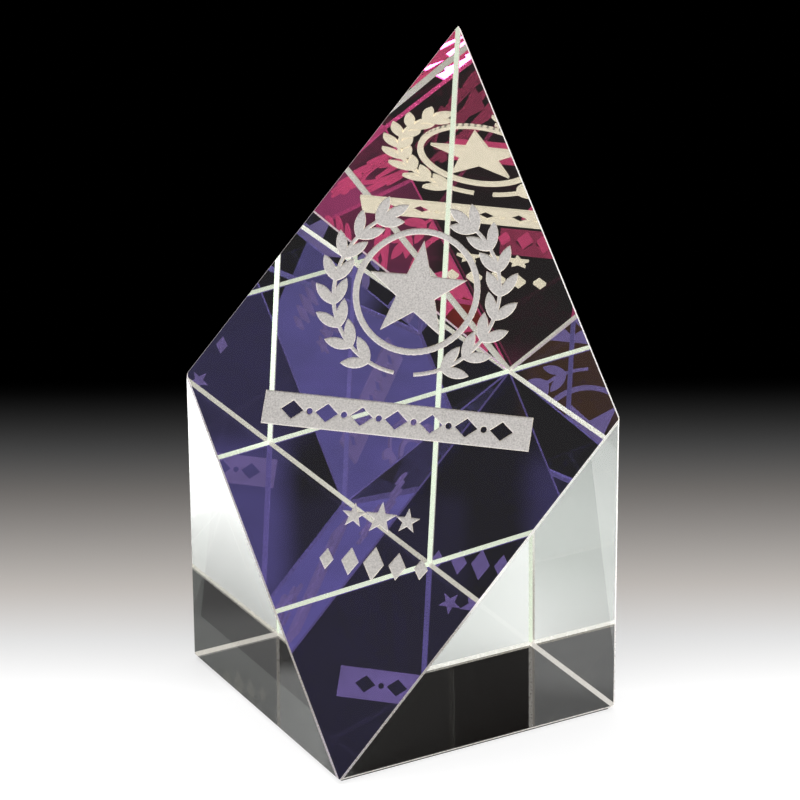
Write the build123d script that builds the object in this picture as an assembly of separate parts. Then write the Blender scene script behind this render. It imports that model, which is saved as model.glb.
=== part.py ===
from build123d import *
import os
from math import atan2, cos, degrees, radians, sin, sqrt

os.makedirs("parts", exist_ok=True)

# Crystal award: a square column of optical crystal that stands with one upright edge to the
# front and is cut by a single slanted facet, from the toe of that edge up to the apex over the
# opposite edge. Z = 0 is the surface that the award stands on, the column's axis is the Z axis,
# -Y is the front, and every length is in millimetres.

# Block
SIDE = 76.2                    # side of the square column
BLOCK_HEIGHT = 152.4           # polished base to the apex, before the edges are broken
UPRIGHT_FLAT = 1.2             # width of the flat polished on each upright edge
BASE_FLAT = 1.2                # width of the flat on each edge of the base
RIM_FLAT = 0.55                # width of the flat round the slanted facet

# Base layers, from the floor up
BACKING_THICKNESS = 0.5        # black backing that the award stands on
COAT_THICKNESS = 0.1           # colour coat between the backing and the crystal
COAT_MARGIN = 0.2              # bare rim of the base face outside the coat
BACKING_MARGIN = 0.4           # the backing stops this far inside the coat

# Carved marks on the facet, filled with frosted paint
CARVE_DEPTH = 0.4
FILL_SET_BACK = 0.04           # how far the fill stays below the polished facet

# Emblem: a star in a ring inside a laurel wreath
RING_RADIUS = 14.9             # centre line of the ring
RING_WIDTH = 1.5
STAR_CLEARANCE = 1.55          # star's points to the inside of the ring
STAR_WAIST = 0.40              # inner corners of a star, as a share of its radius
WREATH_CLEARANCE = 0.95        # outside of the ring to the tips of the inner leaves
STEM_WIDTH = 0.9
LEAF_LENGTH = 7.2
LEAF_WIDTH = 2.7
LEAF_LEAN = 32.0               # angle between a leaf and the stem, in degrees
LEAF_PAIRS = 8                 # pairs of leaves on each branch
TIP_LEAF_LAP = 1.0             # length of the stem's end that lies inside the leaf at its tip
WREATH_FOOT = 7.0              # angle from straight down to the end of each stem
WREATH_MOUTH = 30.0            # angle from straight up to the last pair of leaves

# Banner bar under the emblem, with a row of polished lozenges and dots left in it
BANNER_DROP = 6.2              # facet's centre down to the banner's centre, along the slope
BANNER_LENGTH = 66.0
BANNER_WIDTH = 8.2
BANNER_LOZENGES = 7
BANNER_END = 7.2               # banner's end to the centre of the first lozenge
BANNER_LOZENGE_LENGTH = 5.6
BANNER_LOZENGE_WIDTH = 4.6
BANNER_DOT_RADIUS = 0.8

# Rows of small marks at the foot, each listed from left to right
STAR_ROW_RADII = (3.1, 4.0, 3.1)
STAR_ROW_PITCH = 6.6
LOZENGE_ROW_LENGTHS = (3.4, 4.2, 5.0, 4.2, 3.4)
LOZENGE_ROW_WIDTHS = (5.0, 6.6, 8.2, 6.6, 5.0)
LOZENGE_ROW_PITCH = 5.8

# Gaps between the marks, along the slope
WREATH_TO_BANNER = 3.4
BANNER_TO_STARS = 15.8
STARS_TO_LOZENGES = 2.9

# Derived places
CORNER = SIDE / sqrt(2)                                # axis to each upright edge
BASE_Z = BACKING_THICKNESS + COAT_THICKNESS
SHOULDER_Z = BASE_Z + BLOCK_HEIGHT / 2                 # where the facet meets the side edges
SLOPE = degrees(atan2(BLOCK_HEIGHT, 2 * CORNER))       # facet's angle from level
FACET_NORMAL = Vector(0, -sin(radians(SLOPE)), cos(radians(SLOPE)))
FACET = Plane(origin=(0, 0, SHOULDER_Z), x_dir=(1, 0, 0), z_dir=FACET_NORMAL)

LEAF_REACH = LEAF_LENGTH * sin(radians(LEAF_LEAN))     # how far a leaf's tip stands off the stem
STAR_RADIUS = RING_RADIUS - RING_WIDTH / 2 - STAR_CLEARANCE
WREATH_RADIUS = RING_RADIUS + RING_WIDTH / 2 + WREATH_CLEARANCE + LEAF_REACH
BANNER_Y = -BANNER_DROP
EMBLEM_Y = BANNER_Y + BANNER_WIDTH / 2 + WREATH_TO_BANNER + WREATH_RADIUS + LEAF_REACH
STAR_ROW_Y = BANNER_Y - BANNER_WIDTH / 2 - BANNER_TO_STARS - max(STAR_ROW_RADII)
LOZENGE_ROW_Y = STAR_ROW_Y - max(STAR_ROW_RADII) - STARS_TO_LOZENGES - max(LOZENGE_ROW_WIDTHS) / 2

DIAGONAL = sqrt(0.5)
FRONT_LEFT = Vector(-DIAGONAL, -DIAGONAL, 0)
FRONT_RIGHT = Vector(DIAGONAL, -DIAGONAL, 0)
BACK_LEFT = Vector(-DIAGONAL, DIAGONAL, 0)
BACK_RIGHT = Vector(DIAGONAL, DIAGONAL, 0)
DOWN = Vector(0, 0, -1)


def cut_flat(block, point, normal_a, normal_b, width):
    """Polish a flat of the given width along the edge where two faces meet at a point."""
    summed = normal_a + normal_b
    half_angle_sine = summed.length / 2
    half_angle_tangent = half_angle_sine / sqrt(1 - half_angle_sine**2)
    outward = summed.normalized()
    depth = width / 2 / half_angle_tangent
    return split(block, bisect_by=Plane(origin=point - outward * depth, z_dir=outward), keep=Keep.BOTTOM)


def make_block():
    """The column, its slanted facet, and a flat on each of its eleven edges."""
    column = Pos(0, 0, BASE_Z) * Rot(0, 0, 45) * Box(
        SIDE, SIDE, BLOCK_HEIGHT, align=(Align.CENTER, Align.CENTER, Align.MIN)
    )
    block = split(column, bisect_by=FACET, keep=Keep.BOTTOM)
    left = Vector(-CORNER, 0, SHOULDER_Z)
    right = Vector(CORNER, 0, SHOULDER_Z)
    apex = Vector(0, CORNER, BASE_Z + BLOCK_HEIGHT)
    toe = Vector(0, -CORNER, BASE_Z)
    heel = Vector(0, CORNER, BASE_Z)
    uprights = ((left, FRONT_LEFT, BACK_LEFT), (right, FRONT_RIGHT, BACK_RIGHT), (apex, BACK_LEFT, BACK_RIGHT))
    for point, one, other in uprights:
        block = cut_flat(block, point, one, other, UPRIGHT_FLAT)
    for point, side in ((toe, FRONT_LEFT), (toe, FRONT_RIGHT), (heel, BACK_LEFT), (heel, BACK_RIGHT)):
        block = cut_flat(block, point, side, DOWN, BASE_FLAT)
    for point, side in ((toe, FRONT_LEFT), (toe, FRONT_RIGHT), (apex, BACK_LEFT), (apex, BACK_RIGHT)):
        block = cut_flat(block, point, side, FACET_NORMAL, RIM_FLAT)
    return block


def star(radius):
    """Five-pointed star with one point straight up."""
    corners = []
    for index in range(10):
        reach = radius if index % 2 == 0 else radius * STAR_WAIST
        angle = radians(90 + 36 * index)
        corners.append((reach * cos(angle), reach * sin(angle)))
    return make_face(Polyline(*corners, close=True))


def lozenge(length, width):
    """Upright diamond: length across the row, width along the slope."""
    corners = ((length / 2, 0), (0, width / 2), (-length / 2, 0), (0, -width / 2))
    return make_face(Polyline(*corners, close=True))


def leaf():
    """Pointed leaf that lies along +X from its base at the origin."""
    tip = (LEAF_LENGTH, 0)
    upper = ThreePointArc((0, 0), (LEAF_LENGTH / 2, LEAF_WIDTH / 2), tip)
    lower = ThreePointArc(tip, (LEAF_LENGTH / 2, -LEAF_WIDTH / 2), (0, 0))
    return make_face(Wire([upper, lower]))


def on_circle(radius, angle):
    """Point on a circle about the emblem's centre, at an angle in degrees."""
    return (radius * cos(radians(angle)), radius * sin(radians(angle)))


def ring_sector(radius, width, start, end):
    """Strip of a ring between two angles, in degrees."""
    outer = radius + width / 2
    inner = radius - width / 2
    middle = (start + end) / 2
    outside = ThreePointArc(on_circle(outer, start), on_circle(outer, middle), on_circle(outer, end))
    inside = ThreePointArc(on_circle(inner, end), on_circle(inner, middle), on_circle(inner, start))
    return make_face(Wire([outside, Line(outside @ 1, inside @ 0), inside, Line(inside @ 1, outside @ 0)]))


def laurel_branch():
    """Right-hand branch: a curved stem with pairs of leaves and one leaf at its tip."""
    foot = -90 + WREATH_FOOT
    mouth = 90 - WREATH_MOUTH
    branch = ring_sector(WREATH_RADIUS, STEM_WIDTH, foot, mouth)
    first_pair = foot + degrees(LEAF_LENGTH / 2 / WREATH_RADIUS)
    step = (mouth - first_pair) / LEAF_PAIRS
    for index in range(LEAF_PAIRS):
        angle = first_pair + step * (index + 0.5)
        base = Pos(*on_circle(WREATH_RADIUS, angle))
        for lean in (LEAF_LEAN, -LEAF_LEAN):
            branch += base * Rot(0, 0, angle + 90 + lean) * leaf()
    tip_angle = mouth - degrees(TIP_LEAF_LAP / WREATH_RADIUS)
    tip_leaf = Pos(*on_circle(WREATH_RADIUS, tip_angle)) * Rot(0, 0, tip_angle + 90) * leaf()
    return branch + tip_leaf


def make_marks():
    """Outline of each group of carved marks, drawn on the facet's own X and Y."""
    emblem = Pos(0, EMBLEM_Y)
    right_branch = laurel_branch()
    outer_disc = Circle(RING_RADIUS + RING_WIDTH / 2)
    inner_disc = Circle(RING_RADIUS - RING_WIDTH / 2)

    bar = Rectangle(BANNER_LENGTH, BANNER_WIDTH)
    start = BANNER_END - BANNER_LENGTH / 2
    pitch = -2 * start / (BANNER_LOZENGES - 1)
    for index in range(BANNER_LOZENGES):
        x = start + pitch * index
        bar -= Pos(x, 0) * lozenge(BANNER_LOZENGE_LENGTH, BANNER_LOZENGE_WIDTH)
        if index:
            bar -= Pos(x - pitch / 2, 0) * Circle(BANNER_DOT_RADIUS)

    stars = Sketch()
    for index, radius in enumerate(STAR_ROW_RADII):
        x = STAR_ROW_PITCH * (index - (len(STAR_ROW_RADII) - 1) / 2)
        stars += Pos(x, STAR_ROW_Y) * star(radius)

    lozenges = Sketch()
    for index, (length, width) in enumerate(zip(LOZENGE_ROW_LENGTHS, LOZENGE_ROW_WIDTHS)):
        x = LOZENGE_ROW_PITCH * (index - (len(LOZENGE_ROW_LENGTHS) - 1) / 2)
        lozenges += Pos(x, LOZENGE_ROW_Y) * lozenge(length, width)

    return {
        "emblem_star": emblem * star(STAR_RADIUS),
        "emblem_ring": emblem * (outer_disc - inner_disc),
        "laurel_right": emblem * right_branch,
        "laurel_left": emblem * mirror(right_branch, about=Plane.YZ),
        "banner_bar": Pos(0, BANNER_Y) * bar,
        "star_row": stars,
        "lozenge_row": lozenges,
    }


def slab_on_facet(outline, top, bottom):
    """Solid between two depths below the facet; a negative depth is outside the crystal."""
    return extrude(FACET.offset(-top) * outline, amount=bottom - top, dir=-FACET_NORMAL)


def make_layer(face, margin, top, thickness):
    """Flat layer of the base face's outline, set in by a margin, with its upper side at a height."""
    outline = offset(face, amount=-margin, kind=Kind.INTERSECTION)
    lowered = Pos(0, 0, top - BASE_Z) * outline
    return extrude(lowered, amount=thickness, dir=(0, 0, -1))


plain_block = make_block()
base_face = plain_block.faces().sort_by(Axis.Z)[0]
marks = make_marks()

crystal_block = plain_block
for outline in marks.values():
    crystal_block -= slab_on_facet(outline, -CARVE_DEPTH, CARVE_DEPTH)

nodes = {
    "crystal_block": crystal_block,
    "base_colour_coat": make_layer(base_face, COAT_MARGIN, BASE_Z, COAT_THICKNESS),
    "base_backing": make_layer(
        base_face, COAT_MARGIN + BACKING_MARGIN, BACKING_THICKNESS, BACKING_THICKNESS
    ),
}
for name, outline in marks.items():
    nodes[name] = slab_on_facet(outline, FILL_SET_BACK, CARVE_DEPTH)

for name, shape in nodes.items():
    export_step(shape, f"parts/{name}.step")
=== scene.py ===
"""Crystal award: a coated optical crystal block with frosted marks, and the stage it stands on."""

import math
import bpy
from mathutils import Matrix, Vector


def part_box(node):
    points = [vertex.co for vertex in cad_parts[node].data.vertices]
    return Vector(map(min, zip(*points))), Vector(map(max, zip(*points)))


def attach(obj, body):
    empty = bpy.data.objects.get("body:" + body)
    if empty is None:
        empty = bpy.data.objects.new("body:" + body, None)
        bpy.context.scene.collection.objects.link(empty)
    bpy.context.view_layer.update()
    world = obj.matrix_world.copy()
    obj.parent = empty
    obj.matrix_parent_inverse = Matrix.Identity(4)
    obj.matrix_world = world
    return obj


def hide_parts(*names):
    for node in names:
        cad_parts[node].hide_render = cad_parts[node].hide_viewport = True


bl_info = {
    "name": "Crystal Award",
    "version": (1, 0, 0),
    "blender": (4, 5, 0),
    "location": "View3D > Sidebar > Crystal Award",
    "description": "Dresses a crystal award with polished, coated and frosted finishes, and sets its stage",
    "category": "Object",
}

import bmesh
import bpy
from mathutils import Matrix, Vector

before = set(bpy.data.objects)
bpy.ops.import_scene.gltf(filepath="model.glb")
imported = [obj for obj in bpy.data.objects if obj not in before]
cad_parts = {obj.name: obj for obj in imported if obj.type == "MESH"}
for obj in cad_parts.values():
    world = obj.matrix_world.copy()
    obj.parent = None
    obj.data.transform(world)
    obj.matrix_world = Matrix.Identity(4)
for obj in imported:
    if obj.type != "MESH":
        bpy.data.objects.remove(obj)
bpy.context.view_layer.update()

CRYSTAL_NODE = "crystal_block"
COAT_NODE = "base_colour_coat"
BACKING_NODE = "base_backing"
EMBLEM_NODES = ("emblem_star", "emblem_ring", "laurel_left", "laurel_right")
ORNAMENT_NODES = ("banner_bar", "star_row", "lozenge_row")
MM = 0.001
CONTACT_GAP = 0.015 * MM            # hairline left between pieces that touch
LEVEL_SLACK = 0.01 * MM             # points this close to a plane lie in it
CARVING_LIMIT = 0.5 * MM            # deeper than any carving
SAME_WAY = 0.999                    # cosine above which two directions count as the same
UPRIGHT = 0.02                      # cosine below which a face counts as square to the facet
POLISHED, COATED, CARVED, GROUND = range(4)     # material places on the crystal


# Shader helpers

def new_material(name):
    """A material with an empty node tree and its output node."""
    material = bpy.data.materials.new(name)
    material.use_nodes = True
    tree = material.node_tree
    tree.nodes.clear()
    output = tree.nodes.new("ShaderNodeOutputMaterial")
    return material, tree, output


def add(tree, kind, **sockets):
    """A node of a kind, with its input sockets set by name."""
    node = tree.nodes.new(kind)
    for socket, value in sockets.items():
        node.inputs[socket.replace("_", " ")].default_value = value
    return node


def ramp(tree, factor, stops):
    """A colour ramp that is fed by a socket, from (position, colour) stops."""
    node = tree.nodes.new("ShaderNodeValToRGB")
    band = node.color_ramp
    while len(band.elements) > 1:
        band.elements.remove(band.elements[-1])
    band.elements[0].position = stops[0][0]
    band.elements[0].color = (*stops[0][1], 1.0)
    for position, colour in stops[1:]:
        band.elements.new(position).color = (*colour, 1.0)
    tree.links.new(factor, node.inputs["Fac"])
    return node.outputs["Color"]


def noise(tree, scale, detail, roughness=0.5):
    """Fractal noise fixed to the object, with its scale in features per metre."""
    place = tree.nodes.new("ShaderNodeTexCoord")
    node = add(tree, "ShaderNodeTexNoise", Scale=scale, Detail=detail, Roughness=roughness)
    tree.links.new(place.outputs["Object"], node.inputs["Vector"])
    return node.outputs["Fac"]


def grey(level):
    """A grey of a given level."""
    return (level, level, level)


def principled(tree, output, **sockets):
    """The surface shader of a material."""
    shader = add(tree, "ShaderNodeBsdfPrincipled", **sockets)
    tree.links.new(shader.outputs["BSDF"], output.inputs["Surface"])
    return shader


# Finishes

WHITE = (1.0, 1.0, 1.0, 1.0)
# colour of the painted glow given to the ground edges
EDGE_PAINTED_GLOW_COLOUR = (1.0, 0.92, 0.83, 1.0)
GRAIN_DARK = 0.62                   # the fill's darkest grains, as a share of its colour
GRAIN_HEIGHT = 0.1 * MM
COAT_TURNS = (0.0, 0.06, 0.3, 0.62, 0.69)   # where its colour turns, from 0 straight on to 1 along the face


def crystal_material(look):
    """Polished optical crystal, faintly tinted in depth."""
    material, tree, output = new_material("polished_crystal")
    principled(
        tree, output, Base_Color=WHITE, Roughness=0.0, IOR=look.crystal_index, Transmission_Weight=1.0
    )
    tint = add(
        tree, "ShaderNodeVolumeAbsorption", Color=(*look.crystal_tint, 1.0), Density=look.crystal_depth
    )
    tree.links.new(tint.outputs["Volume"], output.inputs["Volume"])
    return material


def edge_material(look):
    """Finely ground flats where the crystal's edges are broken; they scatter light, and a painted glow makes
    them shine brighter still.
    """
    material, tree, output = new_material("ground_edge")
    shader = principled(
        tree, output, Base_Color=WHITE, IOR=look.crystal_index, Transmission_Weight=1.0,
        Emission_Color=EDGE_PAINTED_GLOW_COLOUR, Emission_Strength=look.edge_painted_glow
    )
    roughness = ramp(tree, noise(tree, 1500.0, 3.0, 0.6), ((0.3, grey(0.2)), (0.7, grey(0.4))))
    tree.links.new(roughness, shader.inputs["Roughness"])
    return material


def coat_material(look):
    """Mirror coat whose colour turns with the angle it is seen at."""
    material, tree, output = new_material("colour_coat")
    facing = add(tree, "ShaderNodeLayerWeight", Blend=0.5).outputs["Facing"]
    colours = (
        look.coat_straight, look.coat_tilted, look.coat_slanted, look.coat_slanted, look.coat_grazing
    )
    colour = ramp(tree, facing, tuple(zip(COAT_TURNS, colours)))
    clouds = ramp(tree, noise(tree, 70.0, 3.0, 0.6), ((0.35, (0.78, 0.78, 0.8)), (0.65, grey(1.0))))
    clouded = tree.nodes.new("ShaderNodeMix")
    clouded.data_type = "RGBA"
    clouded.blend_type = "MULTIPLY"
    clouded.inputs["Factor"].default_value = 1.0
    tree.links.new(colour, clouded.inputs["A"])
    tree.links.new(clouds, clouded.inputs["B"])
    shader = principled(tree, output, Metallic=1.0, Roughness=0.0)
    tree.links.new(clouded.outputs["Result"], shader.inputs["Base Color"])
    return material


def backing_material():
    """Matt black protective film."""
    material, tree, output = new_material("black_backing")
    shader = principled(tree, output, Roughness=0.7)
    film = ramp(tree, noise(tree, 900.0, 4.0), ((0.3, (0.008, 0.008, 0.009)), (0.7, (0.02, 0.02, 0.022))))
    tree.links.new(film, shader.inputs["Base Color"])
    return material


def fill_material(name, colour, glow=0.0):
    """Sand-blasted paint with a fine grain; a glow, where given, is painted light."""
    material, tree, output = new_material(name)
    shader = principled(tree, output, Roughness=0.75, Emission_Color=(*colour, 1.0), Emission_Strength=glow)
    dark = tuple(channel * GRAIN_DARK for channel in colour)
    grain = noise(tree, 2600.0, 3.0, 0.7)
    tree.links.new(ramp(tree, grain, ((0.35, dark), (0.6, tuple(colour)))), shader.inputs["Base Color"])
    bump = add(tree, "ShaderNodeBump", Strength=0.35, Distance=GRAIN_HEIGHT)
    tree.links.new(grain, bump.inputs["Height"])
    tree.links.new(bump.outputs["Normal"], shader.inputs["Normal"])
    return material


# Mesh helpers

def copy_node(node, name):
    """An edit mesh of a copy of a CAD node's faces, and its new object."""
    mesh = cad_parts[node].data.copy()
    mesh.name = name
    piece = bpy.data.objects.new(name, mesh)
    bpy.context.scene.collection.objects.link(piece)
    mesh.materials.clear()
    edit = bmesh.new()
    edit.from_mesh(mesh)
    bmesh.ops.remove_doubles(edit, verts=edit.verts, dist=1e-7)
    return edit, piece


def close_piece(edit, piece, node):
    """Write the edit mesh back, flat shaded, and put the piece in the place of its CAD node."""
    for face in edit.faces:
        face.smooth = False
    edit.to_mesh(piece.data)
    edit.free()
    if piece.data.has_custom_normals:
        piece.data.attributes.remove(piece.data.attributes["custom_normal"])
    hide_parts(node)
    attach(piece, "root")


def facet_direction():
    """Outward normal of the crystal's slanted facet: that of its largest face that looks up and forwards."""
    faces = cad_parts[CRYSTAL_NODE].data.polygons
    slanted = [face for face in faces if face.normal.z > 0.3 and face.normal.y < -0.3]
    return max(slanted, key=lambda face: face.area).normal.copy()


FACET = facet_direction()
SIDES = [Vector((x, y, 0)).normalized() for x in (-1, 1) for y in (-1, 1)]


def is_carving_wall(face, facet_level):
    """Whether a face is the wall of a carving: upright to the facet, and within its depth."""
    if abs(face.normal.dot(FACET)) > UPRIGHT:
        return False
    depths = [facet_level - vertex.co.dot(FACET) for vertex in face.verts]
    return max(depths) < CARVING_LIMIT


def crystal_place(face, bottom, facet_level):
    """Which of the crystal's materials a face has."""
    middle = face.calc_center_median()
    if face.normal.z < -SAME_WAY and middle.z < bottom + LEVEL_SLACK:
        return COATED
    if face.normal.dot(FACET) > SAME_WAY and middle.dot(FACET) < facet_level - LEVEL_SLACK:
        return CARVED
    if is_carving_wall(face, facet_level):
        return CARVED
    if max(face.normal.dot(direction) for direction in (FACET, *SIDES)) < SAME_WAY:
        return GROUND
    return POLISHED


# Sizes and colours

class AwardLook(bpy.types.PropertyGroup):
    """Finishes of the award."""

    crystal_index: bpy.props.FloatProperty(
        name="Refractive index", description="How strongly the crystal bends light", default=1.6,
        min=1.3, max=2.0)
    crystal_tint: bpy.props.FloatVectorProperty(
        name="Crystal tint", description="Colour that a thick block takes on", subtype="COLOR",
        default=(0.78, 0.9, 0.76))
    crystal_depth: bpy.props.FloatProperty(
        name="Tint strength", description="How quickly the tint builds up, per metre", default=1.6, min=0.0)
    # painted light: an emission glow on the ground edges, standing in for the light they scatter
    edge_painted_glow: bpy.props.FloatProperty(
        name="Edge glow", description="Light that the ground edges scatter", default=0.4, min=0.0)
    coat_straight: bpy.props.FloatVectorProperty(
        name="Coat seen straight on", description="Reflection colour at a right angle", subtype="COLOR",
        default=(0.75, 0.09, 0.2))
    coat_tilted: bpy.props.FloatVectorProperty(
        name="Coat seen a little tilted", description="Reflection colour near a right angle", subtype="COLOR",
        default=(0.6, 0.04, 0.45))
    coat_slanted: bpy.props.FloatVectorProperty(
        name="Coat seen at a slant", description="Reflection colour at a slant", subtype="COLOR",
        default=(0.145, 0.105, 0.52))
    coat_grazing: bpy.props.FloatVectorProperty(
        name="Coat seen along its face", description="Reflection colour at a low angle", subtype="COLOR",
        default=(0.22, 0.22, 0.22))
    fill_colour: bpy.props.FloatVectorProperty(
        name="Fill colour", description="Colour of the frosted marks", subtype="COLOR",
        default=(0.51, 0.485, 0.465))
    # painted highlight: the sloped rims get a lighter copy of the fill colour, as if they caught more light
    rim_painted_highlight_colour: bpy.props.FloatVectorProperty(
        name="Rim colour", description="Colour of the marks' sloped rims", subtype="COLOR",
        default=(0.58, 0.55, 0.53))
    # painted light: the marks seen from inside the crystal get a lighter, warmer copy of their colour and a
    # painted glow, standing in for light seeping through them
    inner_painted_lit_colour: bpy.props.FloatVectorProperty(
        name="Inner colour", description="Colour of the marks seen from inside the crystal", subtype="COLOR",
        default=(0.9, 0.8, 0.62))
    inner_painted_glow: bpy.props.FloatProperty(
        name="Inner glow", description="Light that seeps through the marks into the crystal", default=0.6,
        min=0.0)
    rim_width: bpy.props.FloatProperty(
        name="Rim width", description="Width of the sloped rim of each mark", subtype="DISTANCE",
        default=0.22 * MM)
    dish_depth: bpy.props.FloatProperty(
        name="Dish depth", description="How far the fill sinks inside its rim", subtype="DISTANCE",
        default=0.08 * MM)


class StageLook(bpy.types.PropertyGroup):
    """Floor, lights and camera."""

    azimuth: bpy.props.FloatProperty(
        name="Camera azimuth", description="Camera's turn from the front", subtype="ANGLE",
        default=math.radians(16.01))
    elevation: bpy.props.FloatProperty(
        name="Camera elevation", description="Camera's height angle", subtype="ANGLE",
        default=math.radians(23.01))
    roll: bpy.props.FloatProperty(
        name="Camera roll", description="Camera's turn about its line of sight", subtype="ANGLE",
        default=math.radians(-0.39))
    distance: bpy.props.FloatProperty(
        name="Camera distance", description="From the camera to its target", subtype="DISTANCE",
        default=0.959)
    aim_height: bpy.props.FloatProperty(
        name="Aim height", description="Height of the camera's target", subtype="DISTANCE", default=0.0755)
    lens: bpy.props.FloatProperty(
        name="Focal length", description="Camera's focal length in millimetres", default=181.4)
    floor_colour: bpy.props.FloatVectorProperty(
        name="Floor colour", description="Floor as the camera sees it, before its glow", subtype="COLOR",
        default=(0.12, 0.12, 0.12))
    # painted light and shade: the floor that reflections see is darker on the left and lighter on the right,
    # as if the light fell from the right
    floor_painted_shade_left: bpy.props.FloatVectorProperty(
        name="Mirrored floor, left", description="Floor as reflections see it on the left", subtype="COLOR",
        default=(0.151, 0.158, 0.152))
    floor_right: bpy.props.FloatVectorProperty(
        name="Mirrored floor, right", description="Floor as reflections see it on the right", subtype="COLOR",
        default=(1.0, 1.0, 1.0))
    floor_glow: bpy.props.FloatProperty(
        name="Floor glow", description="Light that lifts the floor's shadows, as a multiple of its colour",
        default=7.0, min=0.0)
    floor_half: bpy.props.FloatProperty(
        name="Floor half width", description="From the award to the floor's edge", subtype="DISTANCE",
        default=1.3)
    fade_start: bpy.props.FloatProperty(
        name="Fade start", description="How far behind the award the floor starts to darken",
        subtype="DISTANCE", default=-0.005)
    fade_end: bpy.props.FloatProperty(
        name="Fade end", description="How far behind the award the floor is black", subtype="DISTANCE",
        default=0.196)
    softbox_size: bpy.props.FloatProperty(
        name="Softbox size", description="Side of the overhead softbox", subtype="DISTANCE", default=1.3)
    softbox_height: bpy.props.FloatProperty(
        name="Softbox height", description="Height of the overhead softbox", subtype="DISTANCE", default=1.2)
    softbox_power: bpy.props.FloatProperty(
        name="Softbox power", description="Power of the overhead softbox", subtype="POWER", default=40.0)


# Pieces

class AWARD_OT_crystal(bpy.types.Operator):
    """Build the crystal block with its polished, coated and frosted faces"""

    bl_idname = "award.crystal"
    bl_label = "Crystal block"

    def execute(self, context):
        look = context.scene.award_look
        edit, piece = copy_node(CRYSTAL_NODE, "crystal_body")
        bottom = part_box(CRYSTAL_NODE)[0].z
        facet_level = max(vertex.co.dot(FACET) for vertex in edit.verts)
        for face in edit.faces:
            face.material_index = crystal_place(face, bottom, facet_level)
        for vertex in edit.verts:
            if vertex.co.z < bottom + LEVEL_SLACK:
                vertex.co.z += CONTACT_GAP
        piece.data.materials.append(crystal_material(look))
        piece.data.materials.append(coat_material(look))
        # the carved floors carry the painted lit colour and painted glow of the marks seen from inside
        piece.data.materials.append(fill_material("carved_floor", look.inner_painted_lit_colour, look.inner_painted_glow))
        piece.data.materials.append(edge_material(look))
        close_piece(edit, piece, CRYSTAL_NODE)
        return {"FINISHED"}


class AWARD_OT_base(bpy.types.Operator):
    """Finish the colour coat and its black backing"""

    bl_idname = "award.base"
    bl_label = "Base layers"

    def execute(self, context):
        look = context.scene.award_look
        for node, material in ((COAT_NODE, coat_material(look)), (BACKING_NODE, backing_material())):
            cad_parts[node].material_slots[0].material = material
        return {"FINISHED"}


def build_mark(node, look, fill, rim):
    """A filled mark: the CAD solid with its top dished inside a narrow sloped rim."""
    edit, piece = copy_node(node, node + "_fill")
    top = max(vertex.co.dot(FACET) for vertex in edit.verts)
    moves = {}
    for vertex in edit.verts:
        walls = [face.normal for face in vertex.link_faces if abs(face.normal.dot(FACET)) < UPRIGHT]
        inward = -sum(walls, Vector()).normalized() * CONTACT_GAP
        rise = FACET * CONTACT_GAP if vertex.co.dot(FACET) < top - LEVEL_SLACK else Vector()
        moves[vertex] = inward + rise
    for vertex, move in moves.items():
        vertex.co += move
    upper = [face for face in edit.faces if face.normal.dot(FACET) > SAME_WAY]
    slopes = bmesh.ops.inset_region(
        edit, faces=upper, thickness=look.rim_width, depth=-look.dish_depth, use_even_offset=True,
        use_boundary=True
    )
    for face in edit.faces:
        face.material_index = 0
    # the sloped rims take the painted highlight material, a lighter copy of the fill
    for face in slopes["faces"]:
        face.material_index = 1
    piece.data.materials.append(fill)
    piece.data.materials.append(rim)
    close_piece(edit, piece, node)


def build_marks(look, nodes):
    """Build a group of marks that share one fill."""
    fill = bpy.data.materials.get("mark_fill") or fill_material("mark_fill", look.fill_colour)
    # the rims' material is a lighter copy of the fill: a painted highlight
    rim = bpy.data.materials.get("mark_rim_highlight") or fill_material("mark_rim_highlight", look.rim_painted_highlight_colour)
    for node in nodes:
        build_mark(node, look, fill, rim)


class AWARD_OT_emblem(bpy.types.Operator):
    """Build the star, the ring and the laurel branches"""

    bl_idname = "award.emblem"
    bl_label = "Emblem"

    def execute(self, context):
        build_marks(context.scene.award_look, EMBLEM_NODES)
        return {"FINISHED"}


class AWARD_OT_ornaments(bpy.types.Operator):
    """Build the banner bar and the rows of small marks under it"""

    bl_idname = "award.ornaments"
    bl_label = "Banner and rows"

    def execute(self, context):
        build_marks(context.scene.award_look, ORNAMENT_NODES)
        return {"FINISHED"}


# Stage

def map_range(tree, value, low, high):
    """0 to 1 as a value passes from low to high."""
    step = tree.nodes.new("ShaderNodeMapRange")
    step.inputs["From Min"].default_value = low
    step.inputs["From Max"].default_value = high
    tree.links.new(value, step.inputs["Value"])
    return step.outputs["Result"]


def soft_step(tree, value, low, high):
    """A smooth step from 0 to 1 as a value passes from low to high."""
    step = map_range(tree, value, low, high)
    step.node.interpolation_type = "SMOOTHSTEP"
    return step


def calculate(tree, operation, first, second=None):
    """A maths node on one or two values, each a socket or a number."""
    node = tree.nodes.new("ShaderNodeMath")
    node.operation = operation
    for index, value in enumerate((first, second)):
        if isinstance(value, (int, float)):
            node.inputs[index].default_value = value
        elif value is not None:
            tree.links.new(value, node.inputs[index])
    return node.outputs["Value"]


def band(tree, value, low, high, edge):
    """1 between low and high, falling to 0 over a soft edge."""
    rise = soft_step(tree, value, low - edge / 2, low + edge / 2)
    fall = soft_step(tree, value, high + edge / 2, high - edge / 2)
    return calculate(tree, "MULTIPLY", rise, fall)


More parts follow.
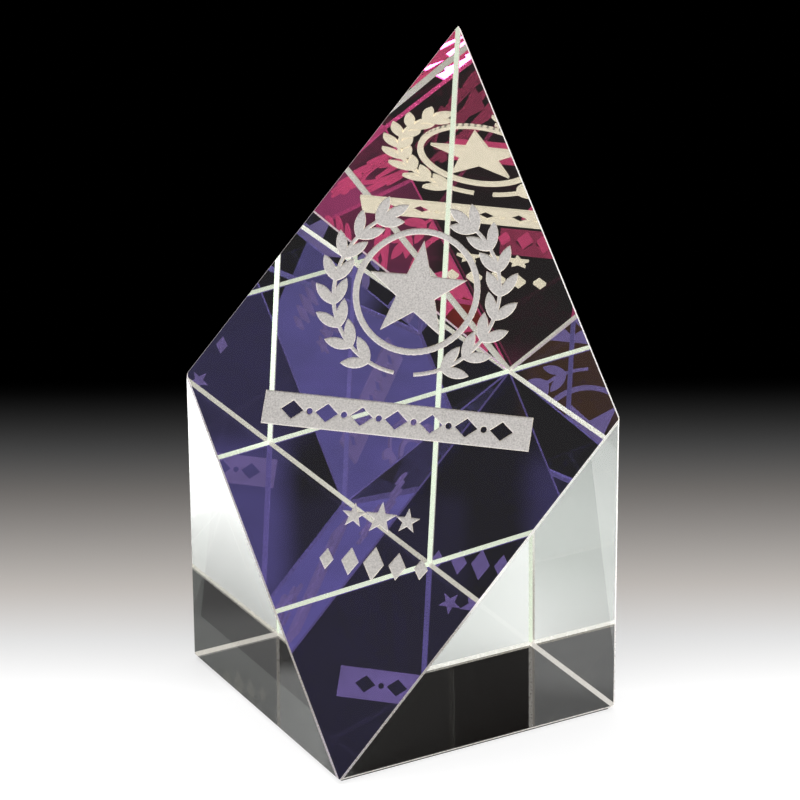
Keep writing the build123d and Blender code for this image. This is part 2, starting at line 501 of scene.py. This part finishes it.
# painted shade on the mirrored floor, from the dark left to the light right
SHADE_REACH = 0.16                  # the mirrored floor goes from dark to light within this far of the middle
SHADE_STEPS = (0.0, 0.34, 0.85)     # where across that reach its three shades are
SHADE_LIFT = 1.87                   # its middle shade, as a multiple of its left one
ROUND_FADE = (0.5, 0.25)            # how far out the mirrored floor is dark, and where it starts to darken
BACK_FADE_POWER = 2.2
WARM_SHARES = (1.03, 0.97, 0.92)    # tint of the floor where it is half faded
# painted shadow: dark cards on the floor in front of the sides, seen only in reflections, stand in for the
# shade the block casts there
CARD_LEVEL = 0.3 * MM
CARD_SPREAD = 1.1                   # width of a dark card, as a multiple of the side that it serves
CARD_END = 0.4
SHADOW_CARD_GREY = 0.12
LEFT_CARD_GAP = 0.02
SOFTBOX_PLACE = (-0.15, 0.15)


def build_floor(stage):
    """A pale sheet whose far side fades to black; mirrored and refracted, it is greyer towards the left, a
    painted shade as if the light fell from the right.
    """
    half = stage.floor_half
    mesh = bpy.data.meshes.new("floor")
    corners = [(-half, -half, 0), (half, -half, 0), (half, half, 0), (-half, half, 0)]
    mesh.from_pydata(corners, [], [(0, 1, 2, 3)])
    floor = bpy.data.objects.new("floor", mesh)
    bpy.context.scene.collection.objects.link(floor)
    material, tree, output = new_material("pale_floor")
    place = tree.nodes.new("ShaderNodeTexCoord").outputs["Object"]
    seen = tree.nodes.new("ShaderNodeLightPath").outputs["Is Camera Ray"]
    east = tree.nodes.new("ShaderNodeSeparateXYZ")
    tree.links.new(place, east.inputs["Vector"])
    # painted shade: the mirrored floor's colour runs from dark on the left to light on the right
    middle = tuple(SHADE_LIFT * channel for channel in stage.floor_painted_shade_left)
    shades = (stage.floor_painted_shade_left, middle, stage.floor_right)
    across = map_range(tree, east.outputs["X"], -SHADE_REACH, SHADE_REACH)
    shade = ramp(tree, across, tuple(zip(SHADE_STEPS, shades)))
    colour = tree.nodes.new("ShaderNodeMix")
    colour.data_type = "RGBA"
    tree.links.new(seen, colour.inputs["Factor"])
    tree.links.new(shade, colour.inputs["A"])
    shader = principled(tree, output, Roughness=0.9, Specular_IOR_Level=0.0)
    tree.links.new(calculate(tree, "MULTIPLY", seen, stage.floor_glow), shader.inputs["Emission Strength"])
    tree.links.new(colour.outputs["Result"], shader.inputs["Base Color"])
    turn = tree.nodes.new("ShaderNodeMapping")
    turn.inputs["Rotation"].default_value = (0, 0, -stage.azimuth)
    tree.links.new(place, turn.inputs["Vector"])
    depth = tree.nodes.new("ShaderNodeSeparateXYZ")
    tree.links.new(turn.outputs["Vector"], depth.inputs["Vector"])
    near = map_range(tree, depth.outputs["Y"], stage.fade_end, stage.fade_start)
    back_fade = calculate(tree, "POWER", near, BACK_FADE_POWER)
    warm = tuple(channel * share for channel, share in zip(stage.floor_colour, WARM_SHARES))
    pale = ramp(tree, near, (
        (0.25, stage.floor_colour),
        (0.4, warm),
        (0.7, warm),
        (0.85, stage.floor_colour),
    ))
    tree.links.new(pale, colour.inputs["B"])
    tree.links.new(pale, shader.inputs["Emission Color"])
    length = tree.nodes.new("ShaderNodeVectorMath")
    length.operation = "LENGTH"
    tree.links.new(place, length.inputs[0])
    round_fade = soft_step(tree, length.outputs["Value"], *ROUND_FADE)
    level = tree.nodes.new("ShaderNodeMix")
    tree.links.new(seen, level.inputs["Factor"])
    tree.links.new(round_fade, level.inputs["A"])
    tree.links.new(back_fade, level.inputs["B"])
    black = add(tree, "ShaderNodeEmission", Color=(0, 0, 0, 1), Strength=0.0)
    mix = tree.nodes.new("ShaderNodeMixShader")
    tree.links.new(level.outputs["Result"], mix.inputs["Fac"])
    tree.links.new(black.outputs["Emission"], mix.inputs[1])
    tree.links.new(shader.outputs["BSDF"], mix.inputs[2])
    tree.links.new(mix.outputs["Shader"], output.inputs["Surface"])
    mesh.materials.append(material)


def add_shadow_card(name, foot, away, near):
    """A dark card that lies in front of a side, and is seen only mirrored in that side: a painted shadow of
    the floor there.
    """
    corners = [corner + away * near for corner in foot]
    corners += [corner + away * CARD_END for corner in reversed(foot)]
    mesh = bpy.data.meshes.new(name)
    mesh.from_pydata([(corner.x, corner.y, CARD_LEVEL) for corner in corners], [], [(0, 1, 2, 3)])
    card = bpy.data.objects.new(name, mesh)
    bpy.context.scene.collection.objects.link(card)
    material, tree, output = new_material(name)
    principled(tree, output, Base_Color=(*grey(SHADOW_CARD_GREY), 1.0), Roughness=0.9)
    mesh.materials.append(material)
    card.visible_camera = False
    card.visible_diffuse = False
    card.visible_transmission = False
    card.visible_shadow = False


def add_shadow_cards(stage):
    """One card for each side that faces the camera, laid where that side mirrors the floor, as painted shadow
    in those reflections.
    """
    reach = CARD_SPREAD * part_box(BACKING_NODE)[1].x
    front = Vector((0, -reach))
    sight = Vector((-math.sin(stage.azimuth), math.cos(stage.azimuth)))
    for name, x, near in (("shadow_card_right", reach, 0.0), ("shadow_card_left", -reach, LEFT_CARD_GAP)):
        side = Vector((x, -reach)).normalized()
        away = sight - 2 * sight.dot(side) * side
        add_shadow_card(name, (front, Vector((x, 0))), away, near)


# Soft panels round the award. Azimuth is measured from the back (+Y) towards +X. Each row holds azimuth from
# and to, elevation from and to, soft edge (all in degrees) and brightness.
WHITE_PANELS = (
    # ceiling and high walls
    (-180.0, 180.0, 65.0, 95.0, 8.0, 0.5),
    (-180.0, -135.0, 38.0, 60.0, 6.0, 0.31),
    (-110.0, 130.0, 50.5, 60.0, 1.0, 0.6),
    (-110.0, -40.0, 44.5, 50.5, 1.0, 0.6),
    # left wall, from high to low
    (-110.0, -50.0, 28.8, 40.0, 0.8, 0.6),
    (-110.0, -50.0, 27.1, 28.8, 0.4, 0.27),
    (-110.0, -50.0, 26.0, 27.1, 0.4, 0.42),
    (-110.0, -50.0, 13.0, 26.0, 0.4, 0.09),
    (-112.0, -10.0, 4.5, 12.0, 1.5, 1.2),
    # right and back, at table level
    (60.0, 95.0, -8.0, 2.5, 2.0, 0.5),
    (22.5, 32.0, -8.0, 4.0, 1.0, 0.85),
    (15.0, 22.0, -8.0, -0.3, 0.5, 0.35),
    # front, round the camera
    (150.0, 162.2, 23.6, 25.8, 0.6, 0.33),
    (150.0, 162.5, 20.0, 23.6, 0.6, 0.11),
    (166.0, 172.0, 23.8, 27.0, 0.6, 0.15),
    # right wall
    (100.0, 116.0, 26.0, 30.0, 0.4, 0.2),
    (100.0, 116.0, 20.0, 26.0, 0.4, 0.05),
    # small accents: back, front, and the bright strip that shows beside the apex
    (-19.5, -17.2, 26.8, 28.6, 0.3, 0.45),
    (160.0, 165.0, 24.4, 29.0, 0.4, 0.04),
    (-110.0, -104.0, -3.38, -1.0, 0.06, 30.0),
)
WARM_PANELS = (
    (165.9, 170.0, 21.0, 23.4, 0.4, 0.2),
)
PANEL_SETS = ((WHITE_PANELS, (1.0, 1.0, 1.0)), (WARM_PANELS, (1.0, 0.42, 0.02)))
ROOM_LEVEL = 0.005
FULL_TURN = 360


def build_world():
    """Dark studio with a few soft panels; the camera sees plain black behind the award."""
    world = bpy.data.worlds.new("studio")
    bpy.context.scene.world = world
    world.use_nodes = True
    tree = world.node_tree
    tree.nodes.clear()
    output = tree.nodes.new("ShaderNodeOutputWorld")
    direction = tree.nodes.new("ShaderNodeSeparateXYZ")
    tree.links.new(tree.nodes.new("ShaderNodeTexCoord").outputs["Generated"], direction.inputs["Vector"])
    east, north, up = direction.outputs
    azimuth = calculate(tree, "DEGREES", calculate(tree, "ARCTAN2", east, north))
    elevation = calculate(tree, "DEGREES", calculate(tree, "ARCSINE", up))
    room = tree.nodes.new("ShaderNodeAddShader")
    for index, (panels, colour) in enumerate(PANEL_SETS):
        total = ROOM_LEVEL
        for left, right, low, high, edge, brightness in panels:
            panel = band(tree, elevation, low, high, edge)
            if right - left < FULL_TURN:
                panel = calculate(tree, "MULTIPLY", panel, band(tree, azimuth, left, right, edge))
            total = calculate(tree, "ADD", calculate(tree, "MULTIPLY", panel, brightness), total)
        glow = add(tree, "ShaderNodeBackground", Color=(*colour, 1.0))
        tree.links.new(total, glow.inputs["Strength"])
        tree.links.new(glow.outputs["Background"], room.inputs[index])
    rays = tree.nodes.new("ShaderNodeLightPath")
    dark = add(tree, "ShaderNodeBackground", Color=(0, 0, 0, 1.0), Strength=1.0)
    mix = tree.nodes.new("ShaderNodeMixShader")
    tree.links.new(rays.outputs["Is Camera Ray"], mix.inputs["Fac"])
    tree.links.new(room.outputs["Shader"], mix.inputs[1])
    tree.links.new(dark.outputs["Background"], mix.inputs[2])
    tree.links.new(mix.outputs["Shader"], output.inputs["Surface"])


def add_softbox(stage):
    """A square area light overhead, aimed at the award's foot and never mirrored in the crystal."""
    light = bpy.data.lights.new("softbox_top", "AREA")
    light.shape = "SQUARE"
    light.size = stage.softbox_size
    light.energy = stage.softbox_power
    lamp = bpy.data.objects.new("softbox_top", light)
    lamp.location = (*SOFTBOX_PLACE, stage.softbox_height)
    lamp.visible_glossy = False
    lamp.visible_transmission = False
    lamp.rotation_euler = (-lamp.location).to_track_quat("-Z", "Y").to_euler()
    bpy.context.scene.collection.objects.link(lamp)


def add_camera(stage):
    """Camera that looks down at the award from the front right."""
    lens = bpy.data.cameras.new("camera")
    lens.lens = stage.lens
    camera = bpy.data.objects.new("camera", lens)
    bpy.context.scene.collection.objects.link(camera)
    level = math.cos(stage.elevation)
    outward = Vector(
        (math.sin(stage.azimuth) * level, -math.cos(stage.azimuth) * level, math.sin(stage.elevation))
    )
    target = Vector((0, 0, stage.aim_height))
    aim = (-outward).to_track_quat("-Z", "Y").to_matrix() @ Matrix.Rotation(stage.roll, 3, "Z")
    camera.matrix_world = Matrix.Translation(target + outward * stage.distance) @ aim.to_4x4()
    bpy.context.scene.camera = camera


class AWARD_OT_stage(bpy.types.Operator):
    """Set the floor, the lights and the camera"""

    bl_idname = "award.stage"
    bl_label = "Stage"

    def execute(self, context):
        stage = context.scene.award_stage
        add_camera(stage)
        build_floor(stage)
        add_shadow_cards(stage)
        build_world()
        add_softbox(stage)
        scene = context.scene
        scene.view_settings.view_transform = "Standard"
        scene.cycles.max_bounces = 32
        scene.cycles.glossy_bounces = 24
        scene.cycles.transmission_bounces = 24
        scene.cycles.diffuse_bounces = 6
        return {"FINISHED"}


class AWARD_PT_panel(bpy.types.Panel):
    """Sidebar panel of the award"""

    bl_idname = "AWARD_PT_panel"
    bl_label = "Crystal Award"
    bl_space_type = "VIEW_3D"
    bl_region_type = "UI"
    bl_category = "Crystal Award"

    def draw(self, context):
        for group in (context.scene.award_look, context.scene.award_stage):
            for name in group.bl_rna.properties.keys():
                if name not in ("rna_type", "name"):
                    self.layout.prop(group, name)
        for operator in OPERATORS:
            self.layout.operator(operator.bl_idname)


OPERATORS = (AWARD_OT_stage, AWARD_OT_crystal, AWARD_OT_base, AWARD_OT_emblem, AWARD_OT_ornaments)
CLASSES = (AwardLook, StageLook, *OPERATORS, AWARD_PT_panel)


def register():
    """Add the settings, the operators and the panel to Blender."""
    for item in CLASSES:
        bpy.utils.register_class(item)
    bpy.types.Scene.award_look = bpy.props.PointerProperty(type=AwardLook)
    bpy.types.Scene.award_stage = bpy.props.PointerProperty(type=StageLook)


def unregister():
    """Take them out again."""
    del bpy.types.Scene.award_stage
    del bpy.types.Scene.award_look
    for item in reversed(CLASSES):
        bpy.utils.unregister_class(item)


def main():
    """Build everything in order."""
    register()
    bpy.ops.award.stage()
    bpy.ops.award.crystal()
    bpy.ops.award.base()
    bpy.ops.award.emblem()
    bpy.ops.award.ornaments()


if __name__ == "__main__":
    main()
